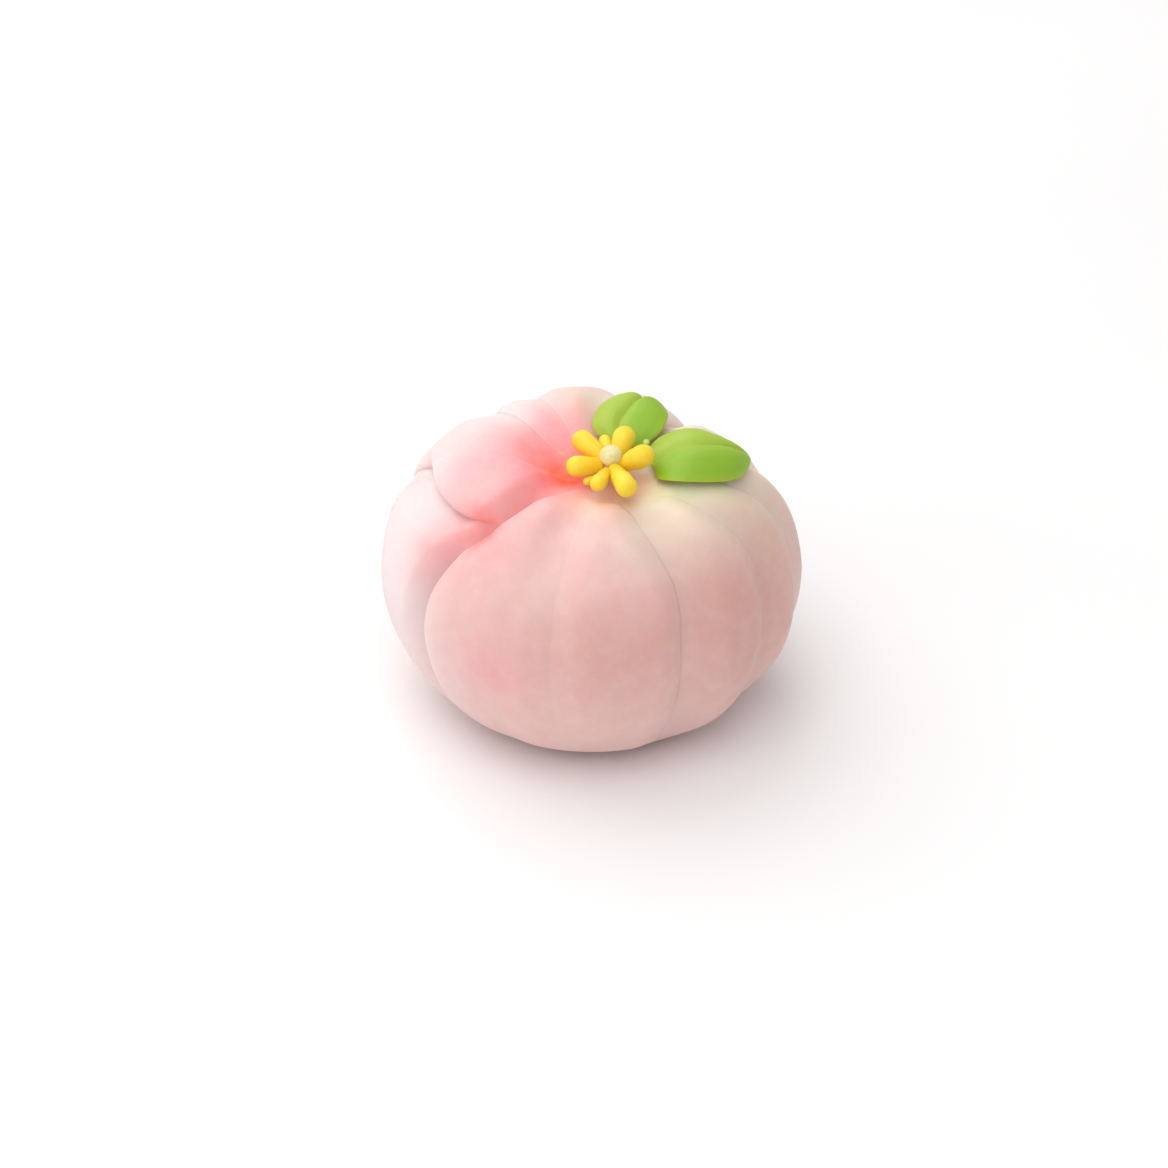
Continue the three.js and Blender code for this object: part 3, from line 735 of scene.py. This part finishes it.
class Nodes:
    """A material and short calls that add nodes to it."""

    def __init__(self, name):
        self.material = bpy.data.materials.new(name)
        self.material.use_nodes = True
        self.tree = self.material.node_tree
        self.shader = self.tree.nodes["Principled BSDF"]

    def add(self, kind, **settings):
        node = self.tree.nodes.new(kind)
        for key, value in settings.items():
            setattr(node, key, value)
        return node

    def put(self, socket, value):
        if isinstance(value, bpy.types.NodeSocket):
            self.tree.links.new(value, socket)
        else:
            socket.default_value = value

    def field(self, name):
        return self.add("ShaderNodeAttribute", attribute_name=name).outputs["Fac"]

    def texture(self, kind, size_mm):
        node = self.add(kind)
        self.put(node.inputs["Vector"], self.add("ShaderNodeTexCoord").outputs["Object"])
        node.inputs["Scale"].default_value = 1 / (size_mm * MM)
        return node

    def noise(self, size_mm, detail, roughness=0.5):
        """Noise with features of about one size."""
        node = self.texture("ShaderNodeTexNoise", size_mm)
        node.inputs["Detail"].default_value = detail
        node.inputs["Roughness"].default_value = roughness
        return node.outputs["Fac"]

    def cells(self, size_mm):
        """The distance from the middle of scattered cells of about one size."""
        return self.texture("ShaderNodeTexVoronoi", size_mm).outputs["Distance"]

    def math(self, operation, *values, clamp=False):
        node = self.add("ShaderNodeMath", operation=operation, use_clamp=clamp)
        for socket, value in zip(node.inputs, values):
            self.put(socket, value)
        return node.outputs[0]

    def spread(self, value, low, high, to_low=0.0, to_high=1.0):
        """Maps a range of a value smoothly to another, and holds it there."""
        node = self.add("ShaderNodeMapRange", interpolation_type="SMOOTHSTEP")
        self.put(node.inputs["Value"], value)
        for key, number in (("From Min", low), ("From Max", high), ("To Min", to_low), ("To Max", to_high)):
            node.inputs[key].default_value = number
        return node.outputs["Result"]

    def mix(self, share, a, b):
        """Mixes two colours, given as (red, green, blue) or as a socket."""
        node = self.add("ShaderNodeMix", data_type="RGBA")
        self.put(node.inputs["Factor"], share)
        colours = [s for s in node.inputs if s.type == "RGBA"]
        for socket, colour in zip(colours, (a, b)):
            self.put(socket, colour if isinstance(colour, bpy.types.NodeSocket) else (*colour, 1))
        return [s for s in node.outputs if s.type == "RGBA"][0]

    def bump(self, height, distance_mm, strength, under=None):
        node = self.add("ShaderNodeBump")
        self.put(node.inputs["Height"], height)
        node.inputs["Distance"].default_value = distance_mm * MM
        node.inputs["Strength"].default_value = strength
        if under is not None:
            self.put(node.inputs["Normal"], under)
        return node.outputs["Normal"]

    def grain(self, surface):
        """The finest bump of a surface."""
        size_mm, depth_mm, strength = surface["grain"]
        return self.bump(self.noise(size_mm, detail=3, roughness=0.6), depth_mm, strength)

    def finish(self, colour, surface, normal=None):
        """Joins the colour, gloss and bump to the shader, which lets some light through."""
        patch_mm, smoothest, roughest = surface["gloss"]
        depth_mm, weight, tone = surface["glow"]
        roughness = self.spread(self.noise(patch_mm, detail=2), *GLOSS_RANGE, smoothest, roughest)
        if normal is None:
            normal = self.grain(surface)
        self.put(self.shader.inputs["Base Color"], colour)
        self.put(self.shader.inputs["Roughness"], roughness)
        self.put(self.shader.inputs["Normal"], normal)
        self.shader.inputs["Subsurface Weight"].default_value = weight
        self.shader.inputs["Subsurface Radius"].default_value = tone
        self.shader.inputs["Subsurface Scale"].default_value = depth_mm * MM
        self.shader.inputs["IOR"].default_value = DOUGH_IOR
        return self.material


def screen_colour(red, green, blue):
    """A colour given as it shows on a screen, 0 to 255, turned into light."""
    shares = (red / 255, green / 255, blue / 255)
    return tuple(s / 12.92 if s <= 0.04045 else ((s + 0.055) / 1.055) ** 2.4 for s in shares)


BASE_ROSE = screen_colour(227, 188, 183)
# The colour of each kind of pool, in the order they are laid on. The leafy and lime pools are painted
# light: green reflected off the leaves, and a green glow on the dough beside the right leaf. The tan, rose
# and amber pools are painted shade. Pink, coral and ember are the dough's own colours, and some of their
# pools paint shade as well.
POOL_COLOURS = {
    "milky": screen_colour(232, 215, 216),
    "cream": screen_colour(227, 204, 193),
    "leaf_reflection": screen_colour(237, 226, 204),
    "tan_shade": screen_colour(204, 174, 156),
    "lime_glow": screen_colour(230, 236, 176),
    "pink_and_valley_shade": screen_colour(233, 172, 176),
    "rose_shade": screen_colour(215, 168, 160),
    "coral_and_pocket_shade": screen_colour(249, 150, 160),
    "amber_shade": screen_colour(248, 190, 136),
    "ember_and_pocket_shade": screen_colour(244, 100, 68),
}
# Painted shade deep inside the coral folds.
DEEP_FOLD_SHADE = screen_colour(248, 122, 124)
# Pale colour of the mottle and of the specks, which are partly painted glints.
SPECK_AND_GLINT = screen_colour(252, 240, 234)
# Wide drifts make the pools stronger and weaker, by half of the sway each way.
DRIFT_SIZE = 9
POOL_SWAY = 0.24
# Painted shade: coral folds are redder and darker inside, from this depth on and by this share.
FOLD_FROM = 0.35
FOLD_SHARE = 0.25
# A mottle lies over all, pale and a little raised. Its bump is a depth and a strength.
MOTTLE_SIZE = 2.2
MOTTLE_SHARE = 0.1
MOTTLE_BUMP = (0.12, 0.35)
# Pale specks lie in the middle of small cells, and only in patches, where a wider noise is high. They are
# partly pale grains of the dough and partly painted tiny glints.
SPECK_CELLS = 0.8
SPECK_EDGE = (0.09, 0.03)
SPECK_SHARE = 0.5
SPECK_PATCHES = 5
SPECK_PATCH_EDGE = (0.52, 0.68)


def dough_material():
    n = Nodes("petal_dough")
    sway = n.math("MULTIPLY_ADD", n.noise(DRIFT_SIZE, detail=3), POOL_SWAY, 1 - POOL_SWAY / 2)
    colour = BASE_ROSE
    for name, shade in POOL_COLOURS.items():
        uneven = n.math("MULTIPLY", n.field(name), sway, clamp=True)
        colour = n.mix(uneven, colour, shade)
    # Painted shade: deep in a coral fold the dough is redder and darker.
    inside = n.spread(n.field("pinch"), FOLD_FROM, 1.0, 0.0, FOLD_SHARE)
    colour = n.mix(n.math("MULTIPLY", inside, n.field("coral_and_pocket_shade")), colour, DEEP_FOLD_SHADE)
    mottle = n.noise(MOTTLE_SIZE, detail=4, roughness=0.6)
    colour = n.mix(n.spread(mottle, *PATCH_RANGE, 0.0, MOTTLE_SHARE), colour, SPECK_AND_GLINT)
    # Specks that are partly the dough's own and partly painted glints.
    speck_glints = n.spread(n.cells(SPECK_CELLS), *SPECK_EDGE)
    patches = n.spread(n.noise(SPECK_PATCHES, detail=2), *SPECK_PATCH_EDGE, 0.0, SPECK_SHARE)
    colour = n.mix(n.math("MULTIPLY", speck_glints, patches), colour, SPECK_AND_GLINT)
    surface = SURFACES["petal"]
    bumped = n.bump(mottle, *MOTTLE_BUMP, n.grain(surface))
    return n.finish(colour, surface, bumped)


LEAF_LIGHT = screen_colour(165, 192, 68)
LEAF_SHADED_GREEN = screen_colour(140, 181, 44)
LEAF_OLIVE = screen_colour(160, 186, 44)
# A leaf is painted light on its left half, which is turned to the light, and shaded deeper green on its
# right. The change wanders by half of a share each way.
HALVES = (-0.2, 0.5)
HALVES_WANDER = 0.7
# The rim and the rib: from and to, as shares of the half width, and how much of their colour shows
# before and after.
RIM = (0.8, 1.0, 0.0, 0.6)
RIB = (0.09, 0.0, 0.0, 0.3)


def leaf_material():
    n = Nodes("leaf_dough")
    # Painted light and shade: the left half lit, the right half shaded.
    lit_and_shaded_halves = n.spread(n.field("across"), *HALVES)
    wander = n.math("MULTIPLY_ADD", n.noise(size_mm=2.5, detail=3), HALVES_WANDER, -HALVES_WANDER / 2)
    colour = n.mix(n.math("ADD", lit_and_shaded_halves, wander, clamp=True), LEAF_LIGHT, LEAF_SHADED_GREEN)
    colour = n.mix(n.spread(n.field("edge"), *RIM), colour, LEAF_OLIVE)
    colour = n.mix(n.spread(n.field("edge"), *RIB), colour, LEAF_LIGHT)
    return n.finish(colour, SURFACES["leaf"])


STAMEN_LEMON = screen_colour(242, 217, 64)
STAMEN_GOLD = screen_colour(240, 196, 28)
# Stamens are golden towards the root: from and to, as shares of the length, and how much of the
# gold shows before and after. They are so in patches too, by a share.
GOLDEN_ROOT = (0.75, 0.15, 0.0, 0.55)
GOLDEN_PATCHES = 0.5


def stamen_material():
    n = Nodes("stamen_dough")
    low = n.spread(n.field("along"), *GOLDEN_ROOT)
    drift = n.spread(n.noise(size_mm=2.2, detail=2), *PATCH_RANGE, 0.0, GOLDEN_PATCHES)
    colour = n.mix(n.math("ADD", low, drift, clamp=True), STAMEN_LEMON, STAMEN_GOLD)
    return n.finish(colour, SURFACES["stamen"])


BALL_CREAM = screen_colour(234, 223, 170)
BALL_SHADE = screen_colour(219, 205, 140)
NUB_LIGHT = screen_colour(214, 232, 130)


def ball_material():
    n = Nodes("cream_dough")
    drift = n.spread(n.noise(size_mm=0.9, detail=3), *PATCH_RANGE)
    colour = n.mix(drift, BALL_CREAM, BALL_SHADE)
    return n.finish(colour, SURFACES["ball"])


def nub_material():
    n = Nodes("leaf_dough_nub")
    drift = n.spread(n.noise(size_mm=0.5, detail=2), *PATCH_RANGE)
    colour = n.mix(drift, NUB_LIGHT, LEAF_LIGHT)
    return n.finish(colour, SURFACES["nub"])


FLOOR_SIZE = 3
FLOOR_TINTS = ((0.86, 0.86, 0.87), (0.9, 0.9, 0.91))
FLOOR_ROUGHNESS = 0.6


def floor_material():
    n = Nodes("studio_floor")
    n.put(n.shader.inputs["Base Color"], n.mix(n.noise(size_mm=60, detail=2), *FLOOR_TINTS))
    n.shader.inputs["Roughness"].default_value = FLOOR_ROUGHNESS
    return n.material


# The camera of the photograph: its view is square, 1168 pixels wide.
IMAGE_SIZE = 1168
FOCAL_PIXELS = 5586
SENSOR = 36.0
CAMERA_PITCH = 36.05
CAMERA_DISTANCE = 613.0
CAMERA_TARGET = np.array([-0.71, -1.04, 12.88]) + CENTRING


def add_camera():
    data = bpy.data.cameras.new("camera")
    data.sensor_width = SENSOR
    data.lens = SENSOR * FOCAL_PIXELS / IMAGE_SIZE
    camera = bpy.data.objects.new("camera", data)
    sine, cosine = turned(CAMERA_PITCH)
    camera.location = (CAMERA_TARGET + CAMERA_DISTANCE * np.array([0, -cosine, sine])) * MM
    camera.rotation_euler = (math.radians(90 - CAMERA_PITCH), 0, 0)
    bpy.context.scene.collection.objects.link(camera)
    bpy.context.scene.camera = camera


# The studio, in metres and watts: an even surround and three round lights aimed at the sweet.
WORLD_COLOUR = (1.0, 0.99, 0.98, 1)
WORLD_STRENGTH = 0.57
LIGHT_AIM = (0, 0, 0.015)
KEY_COLOUR = (1, 0.99, 0.97)
FILL_COLOUR = (1, 0.99, 0.98)
LIGHTS = [
    {"name": "key", "place": (-0.25, 0.3, 0.5), "size": 0.8, "power": 2.3, "colour": KEY_COLOUR},
    {"name": "left_fill", "place": (-0.45, -0.3, 0.22), "size": 0.6, "power": 0.6, "colour": FILL_COLOUR},
    {"name": "top_fill", "place": (-0.05, -0.25, 0.55), "size": 0.5, "power": 1.25, "colour": FILL_COLOUR},
]


def add_light(name, place, size, power, colour):
    data = bpy.data.lights.new(name, "AREA")
    data.shape = "DISK"
    data.size = size
    data.energy = power
    data.color = colour
    light = bpy.data.objects.new(name, data)
    light.location = place
    way = np.array(LIGHT_AIM) - np.array(place)
    yaw = math.atan2(-way[0], way[1])
    lean = math.atan2(math.hypot(way[0], way[1]), -way[2])
    light.rotation_euler = (lean, 0, yaw)
    bpy.context.scene.collection.objects.link(light)


def add_studio():
    world = bpy.data.worlds.new("studio")
    world.use_nodes = True
    background = world.node_tree.nodes["Background"]
    background.inputs["Color"].default_value = WORLD_COLOUR
    background.inputs["Strength"].default_value = WORLD_STRENGTH
    bpy.context.scene.world = world
    for spec in LIGHTS:
        add_light(**spec)
    bpy.ops.mesh.primitive_plane_add(size=FLOOR_SIZE)
    floor = bpy.context.object
    floor.name = "studio_floor"
    floor.data.materials.append(floor_material())
    view = bpy.context.scene.view_settings
    view.view_transform = "Standard"
    view.look = "None"


def build():
    leaf_paste = leaf_material()
    stamen_paste = stamen_material()
    dough_body(dough_material())
    for spec in LEAVES:
        leaf(spec, leaf_paste)
    for number, spec in enumerate(STAMENS, 1):
        stamen(number, spec, stamen_paste)
    ball("centre_ball", BALL_RADIUS, BALL_PLACE, ball_material(), BALL_WIDTH)
    ball("green_nub", NUB_RADIUS, NUB_PLACE, nub_material())


add_camera()
add_studio()
build()
